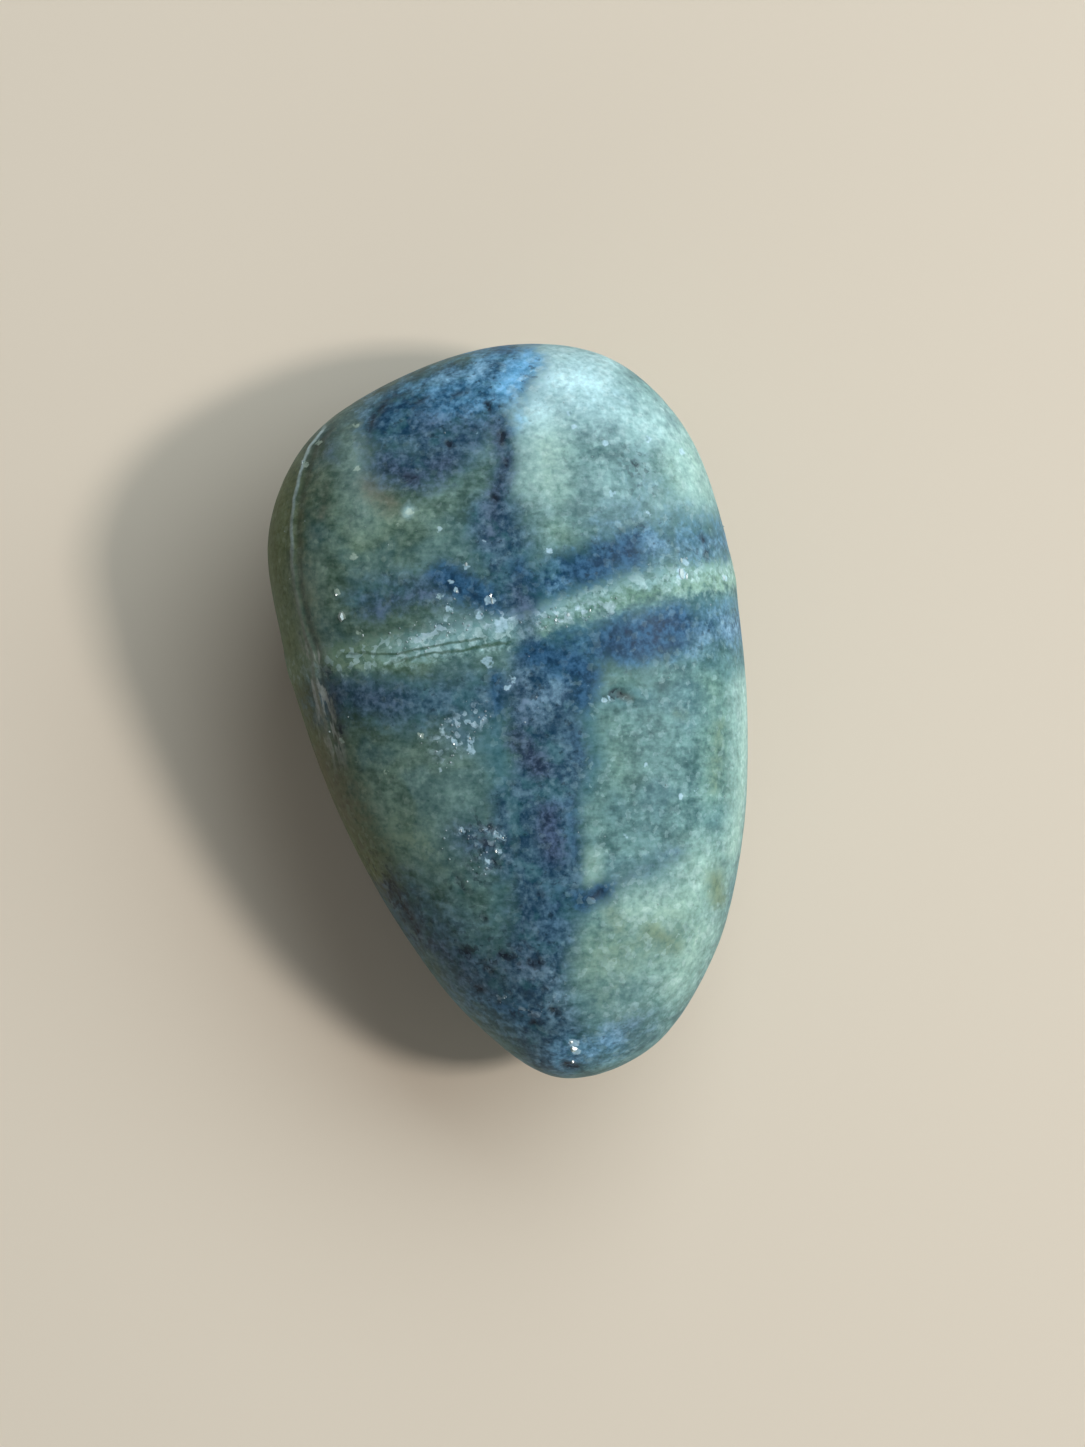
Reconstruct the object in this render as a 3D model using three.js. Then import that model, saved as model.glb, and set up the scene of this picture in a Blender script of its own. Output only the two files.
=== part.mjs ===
// A palm stone: one river pebble of mottled blue and green rock, tumbled until it is smooth.
// It is a single solid. Seen from above it is an egg with one straighter side, broad at +Y and
// narrow at -Y. It has a domed crown, a shallower belly, and a small worn flat that it rests on.
import * as THREE from "three";
import { mergeVertices } from "three/addons/utils/BufferGeometryUtils.js";

// Millimetres. X runs across the stone, Y along it and Z up.
// The waist is the stone's widest line. These points lie on it, anticlockwise from the +X side.
const WAIST = [
  [18.1, -1.8], [17.6, 5.9], [16.2, 14.0], [13.1, 21.8], [7.5, 26.9], [-0.1, 27.9],
  [-8.6, 25.3], [-15.4, 20.5], [-18.2, 13.8], [-17.3, 5.7], [-15.1, -2.7], [-12.0, -10.2],
  [-8.1, -17.0], [-2.9, -23.6], [3.7, -28.0], [10.6, -25.8], [15.5, -18.6], [17.7, -9.8],
];
const MIDDLE = [1.2, 1.7]; // the middle of that outline, where crown and belly are fullest
const CROWN_HEIGHT = 11.5; // from the waist up
const BELLY_DEPTH = 9.6; // from the waist down
const CROWN_FULLNESS = 2.4; // 2 is an ellipse; more gives a flatter top and rounder shoulders
const BELLY_FULLNESS = 2.3;
const WAIST_TILT = 0.55; // how far the waist climbs on its high side, and drops opposite
const WAIST_HIGH_SIDE = THREE.MathUtils.degToRad(150);
const WAIST_SADDLE = 0.3; // the waist also waves twice round the stone by this much
const RESTING_WEAR = 0.2; // how much the lowest point has been worn away to a flat
const TRIANGLE_ROWS = 18; // each face of the starting icosahedron gets one more row than this

// Broad swells and hollows that tumbling left. z is measured from the waist.
const SWELLS = [
  { at: [-13.5, 11.0, 7.5], reach: 8.0, rise: 0.45 }, // the shoulder above the steep left flank
  { at: [6.0, 18.5, 9.0], reach: 8.5, rise: 0.3 },
  { at: [-7.5, -6.0, 9.5], reach: 6.5, rise: -0.25 },
  { at: [13.5, -7.0, 7.0], reach: 7.5, rise: -0.3 }, // the flatter right side
  { at: [5.5, -17.0, 8.0], reach: 6.0, rise: 0.22 },
  { at: [-9.0, 14.0, -7.5], reach: 8.0, rise: -0.35 },
  { at: [10.0, -8.0, -7.5], reach: 9.0, rise: 0.3 },
  { at: [3.0, 21.0, -7.0], reach: 6.5, rise: -0.25 },
];

// Shallow pits with worn rims.
const PITS = [
  { at: [8.4, 1.6, 10.4], reach: 0.9, rise: -0.24 },
  { at: [7.4, -13.8, 9.2], reach: 0.95, rise: -0.2 },
  { at: [9.7, 19.0, 7.8], reach: 0.9, rise: -0.18 },
  { at: [15.0, 12.0, 4.4], reach: 0.9, rise: -0.16 },
  { at: [-7.0, -17.5, -3.0], reach: 1.0, rise: -0.24 },
  { at: [-6.0, 10.0, -8.9], reach: 1.1, rise: -0.26 },
  { at: [11.5, 3.0, -7.6], reach: 0.9, rise: -0.2 },
];

// A harder vein crosses the stone as a sheet. It leans a little and climbs to the right.
const VEIN_MIDDLE_Y = 6.6; // where the sheet cuts the waist's level at x = 0
const VEIN_CLIMB = 0.205; // mm along Y for each mm along X
const VEIN_LEAN = -0.12; // mm along Y for each mm up
const VEIN_HALF_WIDTH = 1.25;
const VEIN_RISE = 0.1; // how far it stands out of the softer rock

const waist = new THREE.CatmullRomCurve3(
  WAIST.map(([x, y]) => new THREE.Vector3(x, y, 0)),
  true,
  "centripetal",
);

// A direction on the unit sphere becomes a point of the plain form, before any relief.
function formPoint(direction) {
  const angle = Math.atan2(direction.y, direction.x);
  const rim = waist.getPoint((angle / (2 * Math.PI) + 1) % 1);
  const isCrown = direction.z >= 0;
  const fullness = isCrown ? CROWN_FULLNESS : BELLY_FULLNESS;
  const flat = Math.hypot(direction.x, direction.y);
  const size = (flat ** fullness + Math.abs(direction.z) ** fullness) ** (1 / fullness);
  const outward = flat / size;
  const upward = direction.z / size;
  const waistLift =
    WAIST_TILT * Math.cos(angle - WAIST_HIGH_SIDE) + WAIST_SADDLE * Math.cos(2 * angle);
  return new THREE.Vector3(
    MIDDLE[0] + (rim.x - MIDDLE[0]) * outward,
    MIDDLE[1] + (rim.y - MIDDLE[1]) * outward,
    upward * (isCrown ? CROWN_HEIGHT : BELLY_DEPTH) + waistLift * outward ** 2,
  );
}

function bell(distance, reach) {
  return Math.exp(-((distance / reach) ** 2));
}

// How far the surface stands out at a point, along its normal.
function relief(point) {
  const veinY = VEIN_MIDDLE_Y + VEIN_CLIMB * point.x + VEIN_LEAN * point.z;
  let height = VEIN_RISE * bell(point.y - veinY, VEIN_HALF_WIDTH);
  for (const { at, reach, rise } of [...SWELLS, ...PITS]) {
    height += rise * bell(point.distanceTo(new THREE.Vector3(...at)), reach);
  }
  return height;
}

function stoneGeometry() {
  const sphere = new THREE.IcosahedronGeometry(1, TRIANGLE_ROWS);
  sphere.deleteAttribute("normal");
  sphere.deleteAttribute("uv");
  const geometry = mergeVertices(sphere);
  const place = geometry.attributes.position;
  const point = new THREE.Vector3();
  for (let i = 0; i < place.count; i += 1) {
    const { x, y, z } = formPoint(point.fromBufferAttribute(place, i));
    place.setXYZ(i, x, y, z);
  }

  geometry.computeVertexNormals();
  const normal = new THREE.Vector3();
  for (let i = 0; i < place.count; i += 1) {
    point.fromBufferAttribute(place, i);
    normal.fromBufferAttribute(geometry.attributes.normal, i);
    point.addScaledVector(normal, relief(point));
    place.setXYZ(i, point.x, point.y, point.z);
  }

  // The belly is worn to a level flat. The origin is on it, below the middle of the outline's box.
  geometry.computeBoundingBox();
  const { min, max } = geometry.boundingBox;
  const floor = min.z + RESTING_WEAR;
  for (let i = 0; i < place.count; i += 1) {
    place.setZ(i, Math.max(place.getZ(i), floor));
  }
  geometry.translate(-(min.x + max.x) / 2, -(min.y + max.y) / 2, -floor);
  geometry.computeVertexNormals();
  return geometry;
}

function buildStone() {
  const polishedRock = new THREE.MeshStandardMaterial({
    color: 0x5f7f76,
    roughness: 0.42,
    metalness: 0,
  });
  const stone = new THREE.Mesh(stoneGeometry(), polishedRock);
  stone.name = "stone";
  return stone;
}

const palmStone = new THREE.Group();
palmStone.add(buildStone());

export default palmStone;
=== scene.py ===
import math

import bmesh
import bpy
import numpy as np
from mathutils import Matrix, Vector
from mathutils.bvhtree import BVHTree


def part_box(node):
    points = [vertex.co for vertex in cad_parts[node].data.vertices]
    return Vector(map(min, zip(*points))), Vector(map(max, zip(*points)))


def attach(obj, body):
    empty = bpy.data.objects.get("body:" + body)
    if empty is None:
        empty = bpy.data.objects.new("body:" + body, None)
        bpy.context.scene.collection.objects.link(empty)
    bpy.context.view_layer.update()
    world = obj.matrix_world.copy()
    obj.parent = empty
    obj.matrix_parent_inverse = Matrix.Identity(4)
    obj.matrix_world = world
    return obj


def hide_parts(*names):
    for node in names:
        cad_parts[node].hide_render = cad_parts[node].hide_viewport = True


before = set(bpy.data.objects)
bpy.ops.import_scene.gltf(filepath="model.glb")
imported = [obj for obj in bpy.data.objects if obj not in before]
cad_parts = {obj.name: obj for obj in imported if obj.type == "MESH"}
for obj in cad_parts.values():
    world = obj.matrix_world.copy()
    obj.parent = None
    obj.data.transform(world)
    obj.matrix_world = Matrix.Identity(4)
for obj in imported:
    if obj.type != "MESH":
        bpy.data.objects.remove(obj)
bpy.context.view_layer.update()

# Camera. It looks straight down on the stone as it lies, from about a foot above, through a long
# lens, with its middle 2.6 mm to the right of the stone's so that the shadow has room.
MM = 0.001
stone_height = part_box("stone")[1].z
waist_height = 0.455 * stone_height
camera_distance = 300 * MM  # above the stone's waist
view_height = 110.4 * MM  # the length that the lens takes in at the waist
view_centre = Vector((2.6 * MM, -0.9 * MM, waist_height))

camera = bpy.data.objects.new("overhead_camera", bpy.data.cameras.new("overhead_camera"))
camera.data.sensor_width = 36.0
camera.data.lens = camera.data.sensor_width * camera_distance / view_height
camera.data.clip_start = 0.01
camera.location = view_centre + Vector((0, 0, camera_distance))
bpy.context.collection.objects.link(camera)
bpy.context.scene.camera = camera


# The stone. One pebble of mottled blue and green rock, hard and fine-grained, tumbled smooth.
# Its skin is worked from a copy of the solid: welded, rounded off between the facets, then given
# the wear, the vein's broken edge and the grains that stand out of the polish.
class Flow:
    """A number, vector or colour on its way through a node tree. Sums on it add Math nodes."""

    def __init__(self, tree, socket=None):
        self.tree = tree
        self.socket = socket

    def node(self, kind, settings=None, sockets=None, output=0):
        """Adds one node: its settings first, then the values or links of its sockets."""
        made = self.tree.nodes.new(kind)
        for name, value in (settings or {}).items():
            setattr(made, name, value)
        open_inputs = [socket for socket in made.inputs if socket.enabled]
        given = sockets if isinstance(sockets, dict) else dict(enumerate(sockets or []))
        for key, value in given.items():
            named = (socket for socket in open_inputs if socket.name == key)
            target = open_inputs[key] if isinstance(key, int) else next(named)
            if isinstance(value, (Flow, list)):
                for source in [value] if isinstance(value, Flow) else value:
                    self.tree.links.new(source.socket, target)
            else:
                target.default_value = value
        open_outputs = [socket for socket in made.outputs if socket.enabled]
        if isinstance(output, str):
            return Flow(self.tree, next(s for s in open_outputs if s.name == output))
        return Flow(self.tree, open_outputs[output] if open_outputs else None)

    def math(self, operation, *others):
        return self.node("ShaderNodeMath", {"operation": operation}, [self, *others])

    def __add__(self, other):
        return self.math("ADD", other)

    def __sub__(self, other):
        return self.math("SUBTRACT", other)

    def __rsub__(self, other):
        return self.node("ShaderNodeMath", {"operation": "SUBTRACT"}, [other, self])

    def __mul__(self, other):
        return self.math("MULTIPLY", other)

    def __truediv__(self, other):
        return self.math("DIVIDE", other)

    def __rtruediv__(self, other):
        return self.node("ShaderNodeMath", {"operation": "DIVIDE"}, [other, self])

    __radd__ = __add__
    __rmul__ = __mul__

    def ramp(self, low, high, start=0.0, end=1.0):
        """An eased step: start below low, end above high."""
        sockets = {"Value": self, "From Min": low, "From Max": high, "To Min": start, "To Max": end}
        return self.node("ShaderNodeMapRange", {"interpolation_type": "SMOOTHSTEP"}, sockets)


WELD_GAP = 0.001 * MM  # corners nearer than this are one corner
welded = bmesh.new()
welded.from_mesh(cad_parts["stone"].data)
bmesh.ops.remove_doubles(welded, verts=welded.verts, dist=WELD_GAP)
rough_mesh = bpy.data.meshes.new("rough_stone")
welded.to_mesh(rough_mesh)
welded.free()
rough_stone = bpy.data.objects.new("rough_stone", rough_mesh)
bpy.context.collection.objects.link(rough_stone)
rounding = rough_stone.modifiers.new("rounding", "SUBSURF")
rounding.levels = rounding.render_levels = 2


def plain_mesh(thing, name):
    """The mesh of a thing with its modifiers worked in."""
    evaluated = thing.evaluated_get(bpy.context.evaluated_depsgraph_get())
    mesh = bpy.data.meshes.new_from_object(evaluated)
    mesh.name = name
    return mesh


skin = plain_mesh(rough_stone, "palm_stone")
bpy.data.objects.remove(rough_stone)
for face in skin.polygons:
    face.use_smooth = True

# Where each mineral lies, in millimetres from the middle of the stone. The rock is cut through by
# steep sheets, so a patch seen on the crown goes on down the flank, slanting and waving, and comes
# out in the belly, further along and bent. Each patch is (share, half width, softness of its
# edge, path).
places = np.empty(len(skin.vertices) * 3)
skin.vertices.foreach_get("co", places)
east, north, up = places.reshape(-1, 3).T / MM
SHOULDER_HEIGHT = 14.0  # below this the sheets start to slant
SLANT_REACH = 9.0  # and this far below it they slant no further
sunk = np.clip(1 - up / (waist_height / MM), 0, 1)  # 0 on the crown, 1 under the belly
below_shoulder = np.clip(SHOULDER_HEIGHT - up, 0, SLANT_REACH)
slant = 0.05 * below_shoulder**2 * (1 + 0.3 * np.sin(up / 0.9 + (east + north) / 5.0))
sheet_east = east + sunk * (4.0 + 2.5 * np.sin(north / 7.0 + 1.0)) + slant * 0.7
sheet_north = north - sunk * (3.0 + 2.0 * np.sin(east / 6.0 + 0.5)) - slant
belly = np.clip(sunk * 2 - 0.6, 0, 1)  # where the coarse grains have been worn away
LEFT_BY_WEAR = 0.3  # the share of them still there under the belly


def distance_to(path):
    """How far each point of the skin is from a path of straight stretches, along the sheets."""
    nearest = np.full(len(east), 1e9)
    for (x0, y0), (x1, y1) in zip(path, path[1:]):
        dx, dy = x1 - x0, y1 - y0
        along = (sheet_east - x0) * dx + (sheet_north - y0) * dy
        share = np.clip(along / (dx * dx + dy * dy), 0, 1)
        gap = np.hypot(sheet_east - x0 - share * dx, sheet_north - y0 - share * dy)
        nearest = np.minimum(nearest, gap)
    return nearest


stored = {}


def keep(name, values):
    """Keeps one number for each point of the skin under a name that the material reads."""
    skin.attributes.new(name, "FLOAT", "POINT").data.foreach_set("value", values)
    stored[name] = values


MINERALS = {
    # Slate blue: the cap at the broad end, the strand below it, the arms on both sides of the
    # vein, the long band down the middle, the left of the narrow end and its tip.
    "blue": [
        (0.95, 2.6, 1.6, [(-8.6, 21.6), (-5.8, 22.4), (-2.8, 23.6), (0.0, 25.6)]),
        (0.9, 0.9, 1.0, [(-8.8, 23.6), (-6.4, 24.8), (-4.0, 25.6)]),
        (0.45, 0.8, 1.2, [(-13.4, 20.4), (-13.0, 19.2)]),
        (0.9, 1.8, 1.5, [(-8.6, 18.6), (-6.8, 18.0), (-3.9, 19.3)]),
        (0.95, 1.3, 0.9, [(-6.0, 19.9), (-4.0, 20.2), (-2.6, 20.6)]),
        (0.3, 1.0, 1.4, [(-4.6, 17.4), (-2.0, 16.6)]),
        (0.55, 1.0, 1.5, [(6.4, 13.8), (9.6, 14.4), (13.0, 14.6)]),
        (0.95, 0.8, 0.7, [(-1.2, 23.3), (-0.4, 20.8), (-0.1, 18.6), (-0.6, 15.9), (-1.1, 13.3)]),
        (1.0, 2.1, 1.3, [(-1.0, 14.1), (0.2, 10.4), (1.3, 7.3)]),
        (0.7, 1.6, 1.4, [(-10.4, 8.4), (-7.9, 8.8), (-4.6, 9.3), (-0.5, 9.6), (2.4, 8.9)]),
        (1.0, 1.7, 1.2, [(2.4, 9.2), (6.1, 11.0), (9.8, 12.3)]),
        (0.72, 1.7, 1.8, [(9.8, 12.3), (13.6, 12.7), (17.8, 12.9)]),
        (0.8, 2.0, 1.7, [(-13.2, 1.2), (-10.2, 0.9), (-6.4, 0.6), (-2.7, 0.9), (0.2, 1.2)]),
        (1.0, 2.1, 1.3, [(2.6, 3.2), (4.6, 4.0)]),
        (0.8, 1.9, 1.5, [(4.6, 4.0), (8.4, 5.0)]),
        (1.0, 2.1, 1.3, [(8.8, 5.2), (9.8, 5.4), (12.5, 6.0)]),
        (0.85, 1.8, 1.9, [(12.5, 6.0), (15.5, 6.4), (18.4, 6.4)]),
        (1.0, 2.6, 0.9, [(2.8, 3.7), (2.6, -0.4), (3.4, -3.4), (2.5, -6.6), (2.9, -9.6), (2.9, -13.2)]),
        (0.95, 2.6, 1.2, [(2.9, -13.2), (2.4, -16.9), (1.6, -21.5), (3.6, -25.4)]),
        (0.66, 2.7, 2.1, [(-7.5, -14.6), (-5.4, -16.6), (-2.4, -19.6)]),
        (0.8, 2.7, 2.1, [(-2.4, -19.6), (0.5, -22.3), (3.9, -25.4)]),
        (0.7, 1.3, 1.4, [(5.0, -25.4), (7.6, -24.8), (9.6, -23.6)]),
        (0.65, 0.7, 1.0, [(7.1, -13.2), (9.8, -11.8), (12.6, -10.4)]),
        (0.5, 1.1, 1.2, [(-4.6, -0.6), (-2.8, -2.2)]),
        (0.65, 1.5, 1.4, [(-3.0, -9.0), (-1.0, -10.6)]),
        (0.9, 1.0, 1.0, [(-0.3, -6.6), (0.2, -11.6)]),
        (0.45, 1.2, 1.8, [(9.6, 18.2), (11.3, 15.7), (12.6, 14.2)]),
    ],
    # Sky blue, at the top of the cap where it meets the mint. It is partly the blue's own lighter tint and
    # partly a painted reflection of the wide window on the cap.
    "sky": [
        (0.95, 0.9, 1.2, [(-0.2, 23.8), (0.4, 25.2), (1.4, 26.4)]),
        (0.45, 0.6, 1.1, [(0.5, 23.2), (0.9, 21.2)]),
        (0.35, 1.0, 1.6, [(-2.6, -21.6), (0.6, -23.2)]),
        (0.65, 1.0, 1.6, [(4.2, -25.8), (7.4, -25.2)]),
        (0.65, 1.0, 1.5, [(-5.4, 24.0), (-2.4, 24.9)]),
        (0.55, 1.2, 1.6, [(-4.8, 22.4), (-2.6, 22.8)]),
        (0.45, 0.6, 1.0, [(-2.6, 26.6), (0.0, 26.9)]),
        (0.3, 0.8, 1.2, [(3.2, 9.4), (5.0, 9.6)]),
        (0.3, 0.7, 1.2, [(-7.4, 24.2), (-6.0, 24.6)]),
    ],
    # Haze and sheen: pale grey-blue veils over the blue. They are partly milky veils in the rock and partly
    # a painted sheen on the rims and arms that face the windows.
    "haze": [
        (0.55, 0.8, 1.4, [(-5.0, 24.8), (-2.0, 25.4)]),
        (0.45, 1.0, 1.5, [(10.8, 12.2), (14.0, 12.0), (16.8, 12.6)]),
        (0.6, 0.5, 0.8, [(-10.9, 22.4), (-10.0, 23.6)]),
        (0.4, 0.9, 1.2, [(1.4, 2.8), (2.6, 2.6)]),
        (0.55, 1.2, 1.6, [(14.0, 5.4), (17.4, 6.4)]),
        (0.85, 0.8, 1.0, [(1.6, 0.4), (3.0, 1.0), (3.8, 1.3)]),
        (0.5, 0.3, 0.6, [(6.8, 4.2), (7.5, 4.5)]),
        (0.4, 0.5, 0.8, [(7.9, 23.9), (8.4, 23.3)]),
        (0.35, 0.8, 1.6, [(2.2, 15.6), (2.6, 12.6)]),
        (0.4, 0.6, 1.2, [(3.4, 9.2), (5.0, 9.6)]),
        (0.25, 0.8, 1.0, [(-8.6, 20.4), (-7.0, 19.8)]),
        (0.4, 1.0, 1.6, [(6.8, 14.0), (9.6, 14.4)]),
        (0.35, 0.8, 1.2, [(3.4, -6.2), (4.4, -8.0)]),
        (0.6, 1.0, 1.6, [(2.4, -19.8), (4.0, -21.6)]),
        (0.5, 1.0, 1.6, [(6.6, -25.0), (10.4, -23.0)]),
        (0.3, 1.2, 1.8, [(3.6, -15.4), (2.6, -18.0)]),
        (0.3, 0.6, 1.0, [(-0.9, 18.4), (-0.9, 16.4)]),
    ],
    # Navy: the deepest parts of the blue.
    "navy": [
        (0.4, 0.5, 0.9, [(-8.6, 22.4), (-5.4, 23.0), (-2.4, 24.0)]),
        (0.9, 1.0, 0.9, [(5.2, 10.2), (6.9, 11.0), (9.0, 11.7)]),
        (0.7, 0.9, 0.9, [(3.2, -7.4), (3.4, -11.0)]),
        (0.8, 0.8, 0.8, [(0.8, 10.4), (2.0, 9.2)]),
        (1.0, 1.2, 1.2, [(7.6, 5.0), (9.8, 5.3), (12.6, 6.4)]),
        (1.0, 1.0, 0.9, [(2.0, 4.2), (4.2, 3.6), (6.0, 2.6), (5.4, 1.0)]),
        (0.8, 0.5, 0.6, [(-0.9, 2.6), (-0.6, 0.2)]),
        (0.6, 0.5, 0.8, [(4.6, -6.8), (5.0, -10.6)]),
        (0.45, 1.2, 1.2, [(3.8, -13.6), (3.0, -16.6)]),
        (0.5, 0.8, 1.0, [(5.0, -1.6), (5.6, -3.6)]),
        (1.0, 0.7, 0.8, [(5.4, -14.0), (7.2, -13.2)]),
        (0.7, 0.8, 0.9, [(-0.6, -21.8), (1.8, -22.6)]),
        (1.0, 1.1, 0.9, [(-4.6, 9.9), (-3.0, 8.9), (-1.4, 8.2)]),
        (0.35, 0.6, 0.9, [(-9.6, 7.4), (-8.4, 7.8)]),
        (0.6, 0.4, 0.6, [(-0.6, 27.2), (2.4, 27.6)]),
    ],
    # Violet grey, where the blue is closest to black.
    "violet": [
        (0.6, 1.4, 1.5, [(-6.0, 21.4), (-2.6, 21.0)]),
        (0.5, 1.2, 1.4, [(-2.8, -9.2), (-1.2, -10.4)]),
        (0.8, 1.1, 1.2, [(-8.8, 18.2), (-7.0, 17.2), (-4.4, 18.4)]),
        (0.5, 0.7, 1.0, [(-10.0, 21.6), (-10.6, 20.0), (-9.8, 18.4)]),
        (0.7, 0.8, 0.9, [(-0.8, 21.4), (-0.2, 18.6), (-0.9, 15.6), (-1.2, 13.0)]),
        (0.7, 0.9, 1.0, [(1.8, 6.4), (0.9, 8.6)]),
        (1.0, 0.9, 0.8, [(0.7, -1.9), (1.4, -2.8), (2.4, -4.2)]),
        (1.0, 0.8, 0.8, [(3.0, -7.6), (2.9, -8.8), (3.5, -10.6)]),
        (0.5, 1.2, 1.2, [(1.0, 1.4), (1.4, -0.8)]),
        (0.5, 1.4, 1.6, [(-6.8, -16.6), (-4.4, -18.4), (-2.6, -20.4)]),
        (0.6, 0.9, 1.2, [(-0.8, -18.2), (2.0, -18.8)]),
        (0.6, 0.5, 0.7, [(-9.8, -13.0), (-8.9, -13.8)]),
        (0.6, 1.1, 1.3, [(-12.6, 1.2), (-8.4, 0.8)]),
        (0.6, 0.9, 1.3, [(-9.8, 7.4), (-7.4, 8.6), (-5.4, 8.7)]),
        (0.4, 0.8, 1.2, [(-13.8, 20.2), (-13.0, 19.0)]),
        (0.4, 1.0, 1.5, [(1.6, -14.6), (0.6, -17.6)]),
    ],
    # Teal: between the blue and the green.
    "teal": [
        (0.8, 1.0, 1.2, [(-1.2, 1.2), (-0.7, -2.1), (-0.3, -6.0)]),
        (0.5, 1.0, 1.2, [(-0.3, -6.0), (-0.1, -11.7), (-1.0, -15.6)]),
        (0.5, 1.0, 1.4, [(7.4, 1.2), (10.0, 1.4)]),
        (0.3, 0.8, 1.0, [(4.0, -1.0), (4.2, -3.6)]),
        (0.45, 0.6, 0.8, [(6.4, -9.8), (6.3, -12.2)]),
        (0.35, 1.2, 1.6, [(7.6, -7.2), (10.6, -8.6)]),
        (0.8, 0.7, 1.0, [(5.4, 0.9), (6.1, -1.6), (6.5, -3.8), (5.8, -5.8)]),
        (0.7, 1.1, 1.3, [(-9.6, 20.9), (-7.8, 20.3)]),
        (0.6, 0.5, 0.8, [(-10.8, 22.6), (-9.6, 23.8)]),
        (0.7, 0.6, 0.8, [(-8.6, 26.0), (-5.4, 27.2), (-0.8, 27.9)]),
        (0.5, 1.0, 1.4, [(3.4, 5.0), (5.6, 4.0)]),
        (0.9, 1.3, 1.3, [(5.4, 4.8), (7.6, 5.2)]),
        (0.5, 0.3, 0.5, [(7.2, -1.4), (7.6, -1.7)]),
        (0.5, 0.3, 0.5, [(7.8, -6.2), (8.3, -6.5)]),
        (0.5, 1.0, 1.6, [(14.6, 14.8), (16.4, 13.0)]),
        (0.5, 0.6, 0.9, [(15.0, 3.8), (16.2, 2.8)]),
    ],
    # Pale mint: the right of the broad end, the strip beside the long band and the lower right, plus a
    # strip down the right edge that is painted sheen.
    "pale": [
        (1.0, 2.0, 2.0, [(1.8, 24.6), (5.8, 24.8), (6.4, 24.4)]),
        (0.95, 1.7, 1.8, [(2.0, 23.0), (2.6, 21.2)]),
        (0.72, 1.4, 2.2, [(2.2, 20.8), (2.6, 17.6)]),
        (0.72, 1.6, 2.2, [(4.0, 23.0), (8.0, 22.6), (11.0, 21.0)]),
        (0.85, 1.0, 2.2, [(12.6, 20.4), (13.8, 18.2), (14.0, 16.2)]),
        (0.85, 0.7, 1.2, [(10.6, 22.7), (11.4, 22.2)]),
        (0.2, 3.0, 3.0, [(5.0, 16.6), (12.0, 15.2)]),
        (0.5, 0.8, 1.4, [(10.0, 18.4), (11.4, 15.2)]),
        (0.85, 0.8, 1.4, [(2.4, 27.0), (8.0, 26.2)]),
        (0.2, 0.4, 0.9, [(6.6, -6.9), (6.5, -8.6)]),
        (0.25, 0.8, 1.5, [(-15.4, 10.0), (-15.2, 4.0)]),
        (0.85, 0.5, 0.6, [(6.4, -10.6), (6.3, -12.2)]),
        (0.8, 1.5, 2.2, [(9.6, -14.8), (11.4, -14.8), (13.6, -14.0), (14.6, -11.8)]),
        (0.95, 0.8, 1.6, [(11.4, -14.9), (13.4, -14.6)]),
        (0.5, 1.4, 2.6, [(7.4, -18.6), (10.6, -18.8), (14.0, -17.4)]),
        (0.85, 1.0, 1.8, [(12.4, -20.4), (13.6, -18.6), (14.6, -16.4)]),
        (0.35, 1.2, 1.8, [(8.4, -22.6), (10.4, -21.6)]),
        (0.1, 1.0, 1.6, [(3.0, -19.6), (5.0, -20.8)]),
        (0.2, 1.6, 2.0, [(-9.6, -7.4), (-6.8, -9.6)]),
        # Painted sheen down the right edge.
        (0.8, 0.8, 1.0, [(18.0, 1.6), (17.8, -6.7), (16.9, -10.4)]),
        (0.8, 0.25, 0.35, [(-7.4, 14.6), (-7.3, 14.9)]),
        (0.3, 0.6, 1.6, [(-11.2, 20.6), (-11.2, 18.0), (-10.4, 14.2)]),
        (0.15, 1.5, 2.5, [(-6.0, -4.6), (-3.4, -6.4)]),
    ],
    # Lime: pale yellow-green, in the mint, around the largest pit and down the right edge.
    "lime": [
        (0.95, 1.0, 1.6, [(2.8, 20.0), (3.0, 16.8)]),
        (0.7, 0.8, 1.6, [(13.6, 20.0), (14.6, 16.6)]),
        (0.6, 0.7, 1.2, [(12.2, 18.4), (12.8, 16.8)]),
        (0.7, 0.5, 1.0, [(3.4, 13.4), (4.8, 12.2)]),
        (0.6, 0.8, 1.2, [(7.2, 3.0), (9.4, 2.8)]),
        (0.35, 1.0, 1.6, [(7.2, -1.6), (8.4, -4.6)]),
        (0.5, 0.6, 1.2, [(15.4, 2.0), (15.4, -6.0)]),
        (0.35, 1.2, 2.2, [(7.4, -17.6), (12.0, -16.0)]),
        (0.25, 1.0, 1.6, [(-11.0, 12.6), (-9.6, 15.0)]),
        (0.7, 0.5, 0.9, [(-12.6, 3.2), (-9.2, 3.4), (-6.0, 3.9)]),
    ],
    # Olive: yellow-green stains. Over the whole of the left flank it is partly the flank's own colour and
    # partly painted shade with warm light thrown up from the table.
    "olive": [
        (0.65, 0.6, 1.0, [(7.8, -15.0), (8.4, -15.8)]),
        (0.85, 0.8, 1.3, [(10.6, -16.4), (12.2, -17.2)]),
        (0.38, 2.4, 2.6, [(7.4, -18.0), (12.0, -16.4)]),
        (0.25, 2.4, 3.0, [(-10.0, 15.6), (-8.4, 12.0)]),
        (0.6, 0.3, 0.9, [(15.8, -1.0), (15.5, -5.5)]),
        (0.5, 0.35, 0.6, [(12.6, -0.1), (13.1, -0.3)]),
        (0.4, 0.8, 1.4, [(7.2, -21.4), (9.6, -18.6)]),
        (0.9, 0.6, 0.9, [(15.5, -12.4), (15.9, -14.2)]),
        (0.3, 0.8, 1.2, [(-13.4, 20.4), (-14.0, 18.0)]),
        (0.5, 1.4, 2.2, [(-7.6, -8.6), (-5.6, -11.6)]),
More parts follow.
